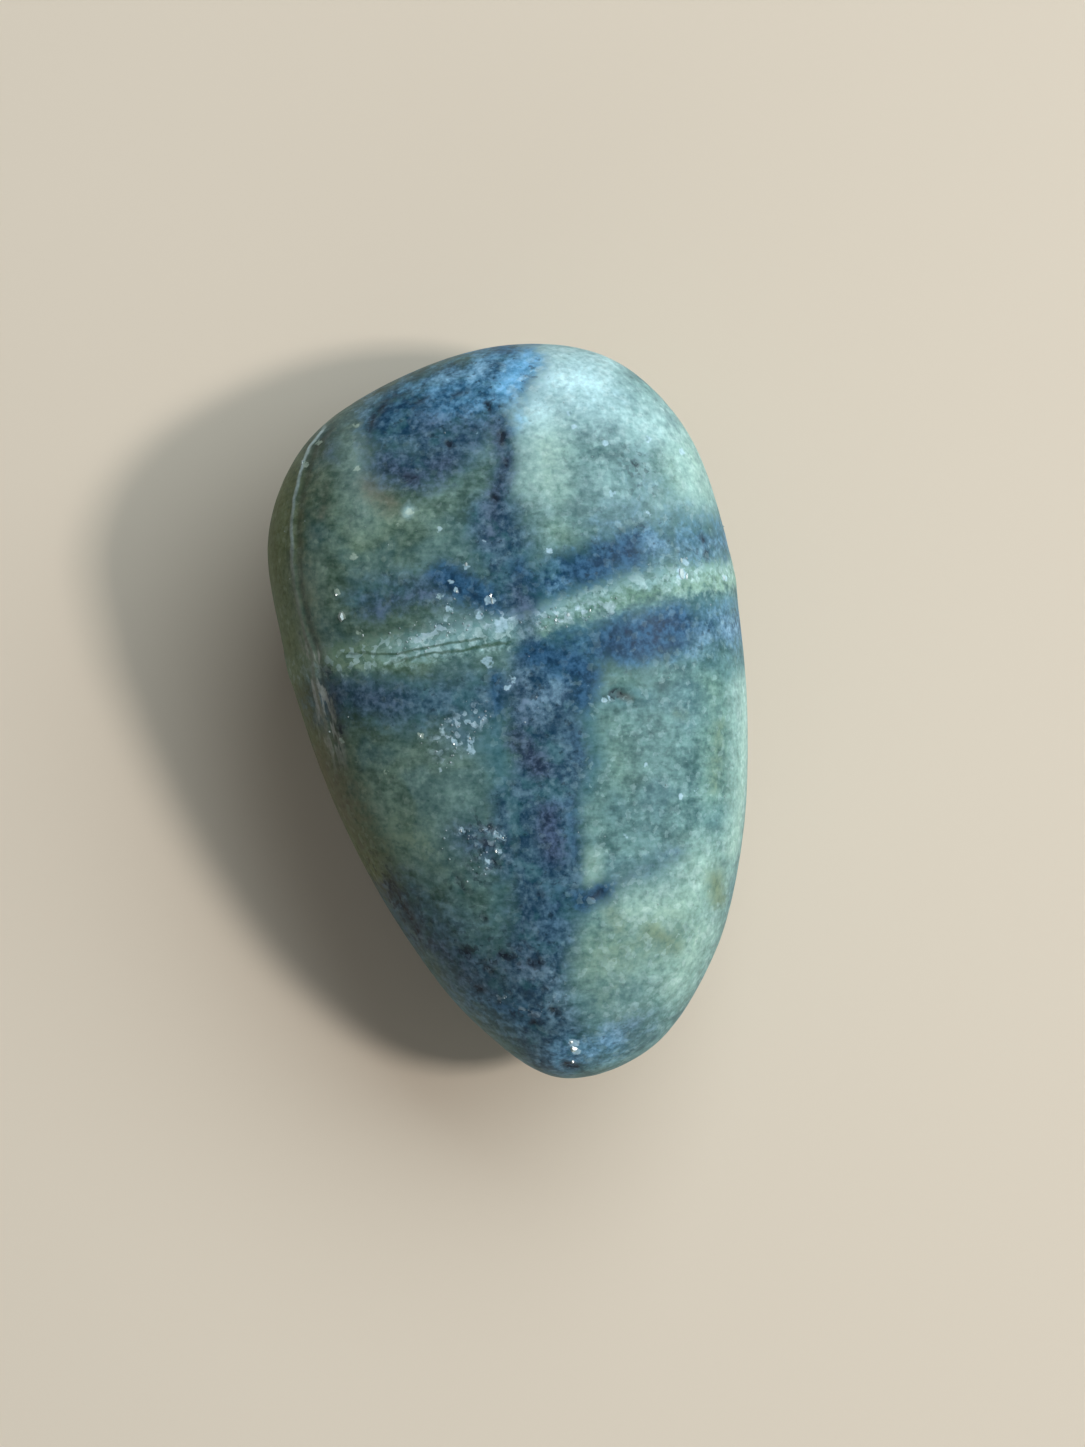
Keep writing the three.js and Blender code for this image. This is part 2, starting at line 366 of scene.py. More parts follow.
        # Left flank: partly painted shade with warm light from the table.
        (1.0, 1.7, 2.0, [(-16.8, 17.4), (-17.4, 11.6), (-16.6, 5.4), (-14.4, -3.7), (-9.6, -13.6)]),
    ],
    # Rust: one smudge and the floor of the largest pit. Down the left flank the same brown is painted shade
    # with warm light thrown up from the table.
    "rust": [
        (0.85, 0.7, 1.3, [(-10.2, 16.8), (-8.8, 15.5)]),
        (0.8, 0.3, 0.25, [(8.4, 1.2), (9.1, 1.0)]),
        (0.5, 0.4, 0.6, [(-13.4, 17.0), (-13.8, 14.4)]),
        # Left flank: painted shade with warm light from the table.
        (0.35, 1.2, 1.8, [(-14.2, 19.0), (-15.0, 12.0), (-14.4, 5.0), (-13.4, -2.0)]),
        (0.5, 1.2, 2.4, [(-15.4, 1.4), (-14.4, -2.4)]),
        (0.75, 1.4, 2.4, [(-14.4, -3.4), (-12.2, -8.0)]),
        (0.55, 1.0, 2.2, [(-11.6, -8.8), (-9.2, -14.0)]),
    ],
    # Pepper: a scatter of small black grains.
    "pepper": [
        (0.9, 1.6, 1.6, [(-3.4, -17.6), (-1.2, -18.2), (1.6, -18.6)]),
        (0.8, 1.2, 1.4, [(-2.6, -20.8), (0.4, -22.0), (3.4, -22.4)]),
        (0.9, 1.2, 1.0, [(-2.2, -8.8), (-1.0, -10.2), (-2.2, -11.8)]),
        (1.0, 1.2, 1.4, [(-10.0, -12.0), (-8.6, -14.0), (-6.6, -17.0)]),
        (0.5, 1.2, 1.6, [(-4.0, -12.6), (-2.4, -15.4)]),
        (0.6, 0.7, 0.8, [(3.4, -26.6), (6.0, -26.8)]),
        (0.6, 0.9, 1.2, [(0.6, -24.0), (3.6, -25.6)]),
        (0.45, 2.0, 1.6, [(-6.6, 23.0), (-3.0, 21.8), (-1.0, 22.6)]),
        (0.5, 0.8, 1.0, [(-0.4, 20.0), (-0.6, 16.0)]),
        (0.45, 0.8, 1.0, [(1.2, -2.0), (2.4, -4.2), (3.2, -9.6)]),
        (0.8, 0.9, 1.2, [(9.4, 18.6), (10.0, 17.0)]),
        (0.3, 1.2, 1.6, [(5.8, 20.0), (8.0, 18.8)]),
        (0.5, 1.0, 1.4, [(-7.4, 8.8), (-5.2, 8.6), (-2.8, 9.2)]),
        (0.45, 0.8, 1.2, [(3.6, -1.6), (4.4, -3.2)]),
        (0.6, 0.6, 0.8, [(14.6, 13.0), (14.9, 11.6)]),
    ],
    # Frost: clusters of coarse white grains.
    "frost": [
        (0.85, 0.9, 1.0, [(-4.6, -2.6), (-3.3, -1.2), (-2.3, -0.4)]),
        (0.5, 0.8, 0.9, [(-3.6, -9.6), (-1.3, -9.2), (-0.7, -10.6), (-2.4, -11.6)]),
        (0.35, 0.3, 0.5, [(1.6, 0.0), (3.2, 0.9), (4.1, 1.4)]),
        (0.9, 0.5, 0.6, [(-7.4, 5.1), (-5.0, 6.2), (-1.6, 6.4), (0.0, 6.7)]),
        (0.8, 0.6, 0.6, [(2.7, 6.8), (4.6, 7.2), (7.4, 7.7)]),
        (0.5, 0.4, 0.7, [(-4.6, 8.2), (-1.4, 7.2)]),
        (0.7, 0.2, 0.3, [(-1.0, -21.1), (0.2, -21.6)]),
        (0.7, 0.2, 0.3, [(1.1, -22.3), (2.5, -22.7)]),
        (0.6, 0.2, 0.3, [(3.5, -21.2), (4.0, -21.6)]),
    ],
    # Black specks: the larger ones, mostly where the rock is blue.
    "black": [
        (1.0, 0.27, 0.22, [(-4.4, 19.9), (-4.2, 19.7)]),
        (1.0, 0.32, 0.26, [(-0.4, 20.5), (-0.3, 20.0)]),
        (0.95, 0.27, 0.22, [(-1.5, 22.9), (-1.3, 22.4)]),
        (0.95, 0.22, 0.22, [(-0.1, 18.5), (-0.1, 18.2)]),
        (0.95, 0.27, 0.22, [(-1.0, 15.8), (-0.8, 15.6)]),
        (0.85, 0.22, 0.3, [(-9.1, 23.3), (-10.0, 22.2), (-10.4, 20.9)]),
        (0.75, 0.22, 0.22, [(-6.9, 23.1), (-6.0, 23.6)]),
        (0.75, 0.22, 0.22, [(-4.3, 23.5), (-3.1, 24.0)]),
        (0.85, 0.32, 0.38, [(-7.5, 17.3), (-6.9, 17.2)]),
        (0.75, 0.32, 0.26, [(9.3, 18.5), (9.6, 18.3)]),
        (0.75, 0.22, 0.22, [(14.6, 13.1), (14.7, 12.7)]),
        (0.75, 0.22, 0.22, [(14.9, 12.0), (14.9, 11.6)]),
        (1.0, 0.32, 0.26, [(-0.5, -18.0), (0.1, -18.3)]),
        (1.0, 0.27, 0.26, [(1.7, -18.6), (2.3, -18.6)]),
        (0.95, 0.27, 0.26, [(-1.6, -19.2), (-1.2, -19.4)]),
        (0.95, 0.27, 0.26, [(-2.4, -20.8), (-2.0, -20.8)]),
        (0.85, 0.37, 0.38, [(-3.5, -17.8), (-3.1, -18.0)]),
        (0.95, 0.27, 0.26, [(1.8, -23.3), (2.2, -23.3)]),
        (0.95, 0.27, 0.26, [(3.3, -22.2), (3.7, -22.4)]),
        (0.85, 0.22, 0.22, [(2.5, -20.4), (2.7, -20.6)]),
        (0.85, 0.22, 0.22, [(2.3, -13.5), (2.5, -13.5)]),
        (0.85, 0.22, 0.22, [(-1.9, -15.2), (-1.7, -15.4)]),
        (1.0, 0.32, 0.3, [(4.3, -26.6), (5.2, -26.9)]),
        (1.0, 0.22, 0.22, [(-1.3, -8.5), (-1.1, -8.7)]),
        (0.95, 0.22, 0.22, [(-1.1, -11.0), (-0.9, -11.2)]),
        (0.95, 0.22, 0.22, [(-1.8, -9.5), (-1.6, -9.7)]),
        (0.75, 0.22, 0.3, [(-3.8, -12.1), (-3.2, -13.2)]),
        (0.95, 0.27, 0.45, [(-9.0, -12.4), (-8.3, -13.8), (-7.6, -15.1), (-6.8, -16.5)]),
        (0.7, 0.32, 0.52, [(-13.3, 3.2), (-13.0, 0.6), (-12.3, -2.2)]),
        (0.3, 1.4, 2.0, [(-14.2, -1.0), (-11.8, -7.0), (-9.6, -12.0), (-7.8, -15.4)]),
        (1.0, 0.34, 0.24, [(7.7, 1.2), (8.0, 1.4), (8.3, 1.4)]),
        (0.8, 0.28, 0.45, [(6.3, -13.6), (7.0, -13.3)]),
    ],
}
for mineral, patches in MINERALS.items():
    amount = np.zeros(len(east))
    for share, half_width, softness, path in patches:
        inside = 0.5 + (half_width - distance_to(path)) / (2 * softness)
        amount = np.maximum(amount, share * np.clip(inside, 0, 1))
    if mineral in ("frost", "black"):
        amount *= 1 - (1 - LEFT_BY_WEAR) * belly
    keep(mineral, amount)

# Chips and glints: single broken grains of quartz, lighter than the rock, and among them painted glints,
# pale spots where the polish flashes. Each is (east, north, half width).
CHIPS_AND_GLINTS = [
    (-7.3, 14.7, 0.36), (-11.2, 18.0, 0.3), (-2.3, 20.8, 0.25), (-11.4, 11.4, 0.35), (-5.1, 13.4, 0.3),
    (-8.1, 13.9, 0.25), (-1.6, 12.5, 0.25), (-11.4, 21.4, 0.3), (4.6, 22.1, 0.3), (4.9, 21.1, 0.3),
    (7.2, 19.9, 0.35), (10.4, 20.3, 0.3), (13.0, 19.5, 0.35), (7.7, 16.1, 0.35), (10.4, 14.7, 0.3),
    (3.1, 11.8, 0.3), (7.1, 0.8, 0.25), (-5.0, -4.3, 0.25), (-9.0, -4.5, 0.25), (-6.4, -1.8, 0.35),
    (-4.2, 9.5, 0.2), (-5.0, 8.4, 0.28), (-4.3, 7.5, 0.35), (-2.1, 7.1, 0.45), (-1.5, 3.6, 0.6),
    (0.4, 2.3, 0.4), (-0.1, 1.7, 0.3), (-0.5, 6.3, 0.8), (-1.3, 8.2, 0.5), (-3.8, 8.9, 0.25),
    (-3.0, 10.7, 0.35), (-12.6, 8.8, 0.28), (-12.2, 7.0, 0.4), (-11.0, 5.8, 0.3), (-2.7, -2.0, 0.45),
    (-2.7, -2.8, 0.4), (-3.9, -2.3, 0.35), (-3.0, -0.8, 0.35), (-4.9, -1.4, 0.3), (-3.4, -8.8, 0.35),
    (-15.2, 18.5, 0.3), (-14.3, 20.2, 0.35), (4.9, -24.8, 0.5), (5.1, -25.5, 0.35),
    (-0.9, -9.1, 0.3), (-0.3, -9.3, 0.3), (-0.7, -10.3, 0.35), (-1.5, -11.1, 0.25), (12.9, 10.2, 0.6),
    (13.1, 11.1, 0.4), (16.2, 10.0, 0.3), (-12.4, -2.2, 0.3), (12.8, -6.3, 0.25), (14.0, -5.9, 0.25),
    (8.7, -9.2, 0.25), (9.3, -8.6, 0.2), (10.1, -3.9, 0.25), (7.4, 1.0, 0.2),
]
FLECK_LENGTH = 0.1  # each is a little longer from west to east than from north to south
amount = np.zeros(len(east))
for fleck_east, fleck_north, half_width in CHIPS_AND_GLINTS:
    gap = distance_to([(fleck_east, fleck_north), (fleck_east + FLECK_LENGTH, fleck_north)])
    amount = np.maximum(amount, np.clip(1.1 - gap / half_width, 0, 1))
keep("chips", amount * (1 - (1 - LEFT_BY_WEAR) * belly))


def keep_line(name, path):
    """Keeps how far north of a line that runs east each point lies."""
    line_east, line_north = np.array(path).T
    keep(name, sheet_north - np.interp(sheet_east, line_east, line_north))


# The vein is a steep sheet that climbs to the right, with two dark hairlines in its left half.
VEIN_PATH = [
    (-18.0, 2.8), (-13.8, 3.7), (-10.9, 4.1), (-7.9, 4.5), (-4.9, 4.9), (-2.0, 5.5), (0.9, 6.1),
    (3.9, 7.2), (6.8, 8.1), (9.8, 9.0), (12.8, 9.7), (15.9, 10.1), (19.0, 10.4),
]
keep_line("vein", VEIN_PATH)
keep_line("hairline_low", [(-9.0, 3.5), (-7.3, 3.8), (-5.1, 4.3), (-2.8, 4.6), (-0.5, 5.0), (1.0, 5.3)])
keep_line("hairline_high", [(-13.8, 4.2), (-10.9, 4.3), (-8.1, 4.2), (-5.3, 4.8), (-2.3, 5.3), (-0.9, 5.5)])

# A thin milky seam lies flatter, along the left shoulder, and runs into the vein's end. It stays
# above the waist and fades out at both ends. Each of its points is (north, east).
SEAM_PATH = [
    (21.3, -13.8), (19.9, -14.9), (18.6, -15.3), (16.9, -15.7), (15.8, -15.9), (13.5, -16.1),
    (11.2, -16.0), (9.4, -15.9), (7.9, -15.6), (5.9, -15.1), (4.4, -14.5), (2.3, -14.3),
    (0.5, -13.9), (-1.4, -13.5), (-4.0, -12.9),
]
seam_north, seam_east = np.array(SEAM_PATH[::-1]).T
keep("seam", east - np.interp(north, seam_north, seam_east))
above_waist = np.clip((up - waist_height / MM) / 1.5 + 0.5, 0, 1)
south_fade = np.clip((north + 5.0) / 3.0, 0, 1)
north_fade = np.clip((21.8 - north) / 0.8, 0, 1)
keep("seam_share", above_waist * south_fade * north_fade * (east < -8.0))

# The relief these leave, in millimetres: black specks have weathered into pits, the vein and the
# frost stand proud of the softer rock, the hairlines are open cracks, the seam is a low step, and
# two larger pits stand alone. The resting face is worn flat.
FROST_RISE = 0.05
SPECK_DEPTH = 0.12
VEIN_RISE = 0.04
VEIN_EDGE = 1.6  # from the vein's middle to where it has sunk to the rock
CRACKS = [("hairline_low", -9.0, 0.5), ("hairline_high", -12.8, -1.6)]  # name, west end, east end
CRACK_DEPTH = 0.09
CRACK_WIDTH = 0.2
SEAM_RISE = 0.07
SEAM_WIDTH = 0.25
STEP_DEPTH = 0.06
STEP_WIDTH = 0.3
STEP_OFFSET = 0.5  # the step's foot lies this far inside the seam
LONE_PITS = [(8.4, 1.2, 0.55, 0.25), (6.8, -13.4, 0.4, 0.06)]  # east, north, radius, depth
FLAT_EDGE = 2.0  # the relief fades out below this height


def swell(gap, width):
    """A soft ridge: one in its middle, gone a width or two away."""
    return np.exp(-((gap / width) ** 2))


lying = np.empty(len(skin.vertices) * 3)
skin.vertices.foreach_get("normal", lying)
relief = FROST_RISE * stored["frost"] - SPECK_DEPTH * stored["black"]
relief += VEIN_RISE * np.clip(VEIN_EDGE - np.abs(stored["vein"]), 0, 1)
for name, west_end, east_end in CRACKS:
    on_line = (sheet_east > west_end) & (sheet_east < east_end)
    relief -= CRACK_DEPTH * swell(stored[name], CRACK_WIDTH) * on_line
relief += stored["seam_share"] * SEAM_RISE * swell(stored["seam"], SEAM_WIDTH)
relief -= stored["seam_share"] * STEP_DEPTH * swell(stored["seam"] - STEP_OFFSET, STEP_WIDTH)
for pit_east, pit_north, radius, depth in LONE_PITS:
    relief -= depth * swell(np.hypot(east - pit_east, north - pit_north), radius) * (sunk == 0)
relief *= np.clip(up / FLAT_EDGE, 0, 1)
moved = places + (lying.reshape(-1, 3) * relief[:, None] * MM).ravel()
skin.vertices.foreach_set("co", moved)
skin.update()

rock = bpy.data.materials.new("mottled_rock")
rock.use_nodes = True
rock.node_tree.nodes.clear()
paint = Flow(rock.node_tree)
place = paint.node("ShaderNodeTexCoord", output="Object")


def noise(size, detail=2.0, roughness=0.5, offset=0.0, spot=place):
    """Cloudy variation with lumps about size millimetres across, around one half."""
    moved = paint.node("ShaderNodeVectorMath", {"operation": "ADD"}, [spot, (offset,) * 3])
    sockets = {"Vector": moved, "Scale": 1 / (size * MM), "Detail": detail, "Roughness": roughness}
    return paint.node("ShaderNodeTexNoise", None, sockets, "Fac")


def field(name):
    return paint.node("ShaderNodeAttribute", {"attribute_name": name}, output="Fac")


def colour(red, green, blue):
    """A colour as a paint maker writes it, 0 to 255, made linear."""
    parts = [value / 255 for value in (red, green, blue)]
    linear = [v / 12.92 if v <= 0.04045 else ((v + 0.055) / 1.055) ** 2.4 for v in parts]
    return (*linear, 1.0)


def blend(below, above, share):
    """Lays one colour over another by a share from 0 to 1."""
    return paint.node("ShaderNodeMix", {"data_type": "RGBA"}, {"Factor": share, "A": below, "B": above})


def mineral_share(name, reach):
    """A mineral's share, its edges broken up by the rock's own lumps."""
    amount = field(name)
    edge = amount * (1 - amount) * 4
    return (amount + (crumble - 0.5) * edge * reach).ramp(0.05, 0.95)


def grains_of(size, empty):
    """Angular grains about size millimetres across. Empty is the share of them left out."""
    bend = paint.node("ShaderNodeTexNoise", None, {"Vector": place, "Scale": 1 / (size * MM)}, "Color")
    parts = [bend, (0.9 * size * MM,) * 3, place]
    bent = paint.node("ShaderNodeVectorMath", {"operation": "MULTIPLY_ADD"}, parts)
    cells = {"Vector": bent, "Scale": 1 / (size * MM)}
    tints = paint.node("ShaderNodeTexVoronoi", None, cells, "Color")
    return paint.node("ShaderNodeSeparateColor", None, [tints]).ramp(empty, empty + 0.15)


drift = noise(4.5, 2.0, 0.5, 0.19)
lumps = noise(2.2, 3.0, 0.55)
mottle = noise(0.9, 4.0, 0.62, 0.37)
grain = noise(0.42, 2.0, 0.6, 0.71)
crumble = lumps * 0.35 + mottle * 0.45 + grain * 0.2
east_of = paint.node("ShaderNodeSeparateXYZ", None, [place], "X")
north_of = paint.node("ShaderNodeSeparateXYZ", None, [place], "Y")
streak_sockets = {"Vector": place, "Rotation": (0, 0, math.radians(-38)), "Scale": (1, 3, 1.5)}
wisps = noise(1.6, 3.0, 0.6, 0.83, paint.node("ShaderNodeMapping", None, streak_sockets))

# The ground is green, drifting towards grey-blue and broken into soft lighter and darker lumps. Its left is
# warmer and darker, painted shade with warm light thrown up from the table. Its right is cooler and
# lighter, painted cool window light. The other minerals are laid into it.
tone = (lumps * 0.35 + mottle * 0.3 + wisps * 0.35).ramp(0.38, 0.62)
warm_shaded_green = blend(colour(62, 85, 74), colour(100, 125, 111), tone)
cool_lit_green = blend(colour(58, 95, 98), colour(103, 143, 143), tone)
green = blend(warm_shaded_green, cool_lit_green, east_of.ramp(-12 * MM, 10 * MM))
green = blend(green, colour(78, 120, 136), drift.ramp(0.48, 0.62) * 0.25)
# The mint turns paler and bluer towards the broad end. This is partly its own tint and partly a painted
# sheen of the wide window beyond that end.
mint_tint_and_sheen = north_of.ramp(-12 * MM, 21 * MM) * east_of.ramp(5 * MM, 12 * MM, 1.0, 0.6)
mint = blend(colour(164, 199, 186), colour(188, 226, 234), mint_tint_and_sheen)
pale_share = field("pale") * (0.7 + crumble * 0.5)
green = blend(green, mint, pale_share)
green = blend(green, colour(140, 174, 142), field("lime") * (crumble * 1.4 - 0.2))
# Olive and rust brown. Down the left flank both are partly painted shade with warm light from the table.
green = blend(green, colour(96, 108, 64), mineral_share("olive", 1.5) * 0.7)
green = blend(green, colour(106, 93, 78), mineral_share("rust", 1.5) * 0.7)
green = blend(green, colour(60, 107, 122), mineral_share("teal", 1.8) * 0.85)

# The blue is greyer on the left, and cleaner in the two arms on the right and across the cap.
cloud = (lumps * 0.3 + mottle * 0.45 + grain * 0.25).ramp(0.39, 0.62)
blue = blend(colour(33, 66, 90), colour(77, 111, 129), cloud)
cleaner_blue = blend(colour(14, 62, 94), colour(65, 112, 139), cloud)
right_arms = east_of.ramp(1 * MM, 4 * MM) * north_of.ramp(0 * MM, 3 * MM)
blue = blend(blue, cleaner_blue, right_arms.math("MAXIMUM", north_of.ramp(19 * MM, 23 * MM)))
blue = blend(blue, colour(28, 74, 86), noise(1.1, 3.0, 0.55, 0.13).ramp(0.5, 0.64) * right_arms * 0.6)
blue = blend(blue, colour(58, 102, 112), noise(1.7, 3.0, 0.55, 0.67).ramp(0.5, 0.64) * 0.6)
blue_share = mineral_share("blue", 2.0)
stone_colour = blend(green, blue, blue_share)
depth = (mottle * 0.6 + grain * 0.4).ramp(0.4, 0.6)
navy = blend(colour(10, 53, 84), colour(34, 81, 116), depth)
violet = blend(colour(38, 50, 72), colour(74, 90, 118), depth)
# Sky blue, partly a painted reflection of the wide window on the cap.
stone_colour = blend(stone_colour, colour(118, 182, 226), mineral_share("sky", 1.6) * 0.88)
# Pale veils over the blue, partly painted sheen.
stone_colour = blend(stone_colour, colour(132, 168, 192), mineral_share("haze", 2.2) * 0.6)
stone_colour = blend(stone_colour, navy, mineral_share("navy", 1.8) * 0.9)
stone_colour = blend(stone_colour, violet, mineral_share("violet", 1.8) * 0.75)

# The vein: a pale band, milky and crumbled above, green below, frayed at its edges.
wander = (mottle - 0.5) * 1.8 + (grain - 0.5) * 1.3
across = field("vein") + wander
crossing = (east_of - 1.4 * MM).math("ABSOLUTE").ramp(0.3 * MM, 1.5 * MM)
vein_share = across.math("ABSOLUTE").ramp(0.4, 1.6, 1.0, 0.0) * (0.35 + crossing * 0.65)
left_milk = east_of.ramp(-1 * MM, 3 * MM, 0.95, -0.15)
milky = (across * 0.7 + left_milk + (lumps - 0.5) * 3.0).ramp(-0.6, 0.5)
vein_colour = blend(colour(98, 136, 121), colour(125, 163, 166), milky)
vein_colour = blend(vein_colour, colour(112, 136, 106), east_of.ramp(-12 * MM, -6 * MM, 0.8, 0.0))
vein_colour = blend(vein_colour, colour(142, 176, 162), east_of.ramp(10.5 * MM, 14 * MM) * 0.6)
vein_colour = blend(vein_colour, colour(60, 96, 88), grains_of(0.55, 0.7) * 0.4)
vein_colour = blend(vein_colour, colour(178, 208, 212), grains_of(0.45, 0.6) * (0.15 + milky * 0.4))
vein_share = vein_share * east_of.ramp(-15 * MM, -12 * MM, 0.3, 1.0)
stone_colour = blend(stone_colour, vein_colour, vein_share * 0.9)
hair_wander = (noise(0.9, 2.0, 0.5, 0.29) - 0.5) * 0.6
low_hair = (field("hairline_low") + hair_wander).math("ABSOLUTE").ramp(0.03, 0.19, 1.0, 0.0)
low_hair = low_hair * east_of.ramp(-9 * MM, -7.5 * MM) * east_of.ramp(-0.5 * MM, 1 * MM, 1.0, 0.0)
high_hair = (field("hairline_high") - hair_wander * 0.6).math("ABSOLUTE").ramp(0.02, 0.16, 1.0, 0.0)
high_hair = high_hair * east_of.ramp(-13 * MM, -10 * MM) * east_of.ramp(-2.6 * MM, -1 * MM, 1.0, 0.0)
hair = low_hair.math("MAXIMUM", high_hair)
stone_colour = blend(stone_colour, colour(44, 74, 48), hair * 0.7)

# The seam: a milky thread with a brown shadow line on its inner side. South of the vein it frays
# into a bundle of grey strands.
seam_off = field("seam") + (noise(2.2, 3.0, 0.6, 0.91) - 0.5) * 0.5
milk = seam_off.math("ABSOLUTE").ramp(0.04, 0.2, 1.0, 0.0) * field("seam_share")
milk_colour = blend(colour(118, 126, 116), colour(170, 194, 198), north_of.ramp(8 * MM, 20 * MM))
shadow_line = (seam_off - 0.5).math("ABSOLUTE").ramp(0.05, 0.45, 1.0, 0.0) * field("seam_share")
stone_colour = blend(stone_colour, colour(50, 46, 38), shadow_line * 0.38)
strand_sockets = {"Vector": place, "Rotation": (0, 0, math.radians(12)), "Scale": (1, 6, 3)}
strand_place = paint.node("ShaderNodeMapping", {"vector_type": "TEXTURE"}, strand_sockets)
strands = noise(0.34, 2.0, 0.5, 0.57, strand_place).ramp(0.48, 0.58)
bundle = (seam_off - 0.2).math("ABSOLUTE").ramp(0.4, 1.1, 1.0, 0.0) * field("seam_share")
bundle = bundle * north_of.ramp(4 * MM, 7 * MM, 1.0, 0.0) * (0.1 + strands * 0.9)
stone_colour = blend(stone_colour, colour(160, 166, 160), bundle * 0.7)
milk = milk * (0.1 + noise(2.6, 2.0, 0.5, 0.31) * 1.5)
stone_colour = blend(stone_colour, milk_colour, milk)

# Specks broken up by finer grains, soft dark and light grains all over, crumbs in the mint, and
# the grains that stand out of the polish. Last, a fine speckle, half of it grey, over everything.
broken = grains_of(0.26, 0.3) * 0.45 + 0.5
stone_colour = blend(stone_colour, colour(8, 20, 36), mineral_share("black", 2.4) * broken)
stone_colour = blend(stone_colour, colour(14, 28, 40), field("pepper") * grains_of(0.36, 0.74) * 0.7)
dark_spots = noise(0.6, 3.0, 0.6, 0.43).ramp(0.4, 0.3) * (0.2 + blue_share * 0.4)
stone_colour = blend(stone_colour, colour(13, 38, 53), dark_spots)
light_spots = grains_of(0.4, 0.8) * east_of.ramp(-6 * MM, 8 * MM, 0.12, 0.22) * (1 - blue_share * 0.6)
light_spots = light_spots.math("MAXIMUM", grains_of(0.7, 0.78) * pale_share * 0.3)
light_tint = blend(colour(156, 176, 160), colour(160, 192, 196), east_of.ramp(-9 * MM, -2 * MM))
light_tint = blend(light_tint, colour(214, 236, 236), pale_share)
stone_colour = blend(stone_colour, light_tint, light_spots)
frost = mineral_share("frost", 1.5)
stone_colour = blend(stone_colour, colour(98, 128, 154), frost * (1 - vein_share) * 0.2)
stone_colour = blend(stone_colour, colour(172, 198, 212), frost * grains_of(0.42, 0.66) * 0.65)
# Pale chips of quartz, some of them painted glints.
chips = (field("chips") * (1 + (grain - 0.5) * 3.0)).ramp(0.3, 0.6)
chip_and_glint_tint = blend(colour(168, 188, 176), colour(166, 198, 214), east_of.ramp(-6.5 * MM, -4 * MM))
stone_colour = blend(stone_colour, chip_and_glint_tint, chips * 0.65)
crystal = field("crystal")
stone_colour = blend(stone_colour, colour(190, 206, 212), crystal * 0.5)
speckle = ((mottle - 0.5) * 0.75 + (grain - 0.5) * 0.95) * (1.1 + blue_share * 0.2 - pale_share * 0.25)
greyed = blend(stone_colour, paint.node("ShaderNodeRGBToBW", None, [stone_colour]), 0.45)
layers = [greyed, speckle, stone_colour]
stone_colour = paint.node("ShaderNodeVectorMath", {"operation": "MULTIPLY_ADD"}, layers)

bump_sockets = {"Strength": 0.25, "Distance": 0.03 * MM, "Height": grain * 0.6 + mottle}
bump = paint.node("ShaderNodeBump", None, bump_sockets)
shader_sockets = {
    "Base Color": stone_colour,
    "Roughness": (0.52 + (mottle - 0.5) * 0.3) * (1 - crystal) + crystal * 0.16,
    "IOR": 1.5,
    "Subsurface Weight": 0.2,
    "Subsurface Radius": (0.6, 1.0, 0.8),
    "Subsurface Scale": 0.6 * MM,
    "Specular IOR Level": 0.2,
    "Normal": bump,
}
shader = paint.node("ShaderNodeBsdfPrincipled", None, shader_sockets)
paint.node("ShaderNodeOutputMaterial", None, {"Surface": shader})

# A few flat crystal faces lie open in the polish, tilted to the right, and flash there. Each is
# (east, north, half width) in millimetres.
FLAKES = [
    (-12.2, 7.0, 0.3), (-12.6, 8.6, 0.09), (-10.6, 5.6, 0.08), (-3.0, 10.8, 0.15), (-3.7, 8.8, 0.13),
    (-1.1, 8.1, 0.22), (-1.2, 8.5, 0.16), (-2.7, -2.0, 0.1), (-3.9, -2.4, 0.09), (-6.4, -1.8, 0.08),
    (12.9, 10.2, 0.4), (13.3, 10.0, 0.24), (12.9, 11.2, 0.2), (16.2, 10.0, 0.12), (3.6, 6.7, 0.12),
    (4.5, 7.1, 0.14), (6.1, 7.4, 0.12), (-3.4, -8.8, 0.12), (-0.3, -9.3, 0.1), (-0.8, -10.3, 0.12),
    (5.0, -25.2, 0.24), (4.8, -24.7, 0.14), (4.9, -26.3, 0.14), (-15.4, 18.6, 0.18), (7.1, 0.8, 0.09),
]
FLAKE_TILT = math.radians(22)
FLAKE_FACING = Vector((math.sin(FLAKE_TILT), 0.02, math.cos(FLAKE_TILT)))
flaked = bmesh.new()
flaked.from_mesh(skin)
crystal_layer = flaked.verts.layers.float.new("crystal")
crown = BVHTree.FromBMesh(flaked)
for number, (flake_east, flake_north, half_width) in enumerate(FLAKES):
    above = Vector((flake_east * MM, flake_north * MM, 2 * stone_height))
    seat = crown.ray_cast(above, Vector((0, 0, -1)))[0]
    tilt = (FLAKE_FACING + 0.03 * Vector((math.sin(number * 2.4), math.cos(number * 3.7), 0))).normalized()
    stand = Matrix.LocRotScale(seat, tilt.to_track_quat("Z", "Y"), (1, 0.6 + 0.3 * math.sin(number), 1))
    plate = bmesh.ops.create_cone(
        flaked,
        cap_ends=True,
        segments=5 + number % 3,
        radius1=1.5 * half_width * MM,
        radius2=half_width * MM,
        depth=0.9 * half_width * MM,
        matrix=stand @ Matrix.Translation((0, 0, -0.2 * half_width * MM)),
    )
    for corner in plate["verts"]:
        corner[crystal_layer] = 1.0
    for face in {face for corner in plate["verts"] for face in corner.link_faces}:
        face.smooth = False
flaked.to_mesh(skin)
flaked.free()

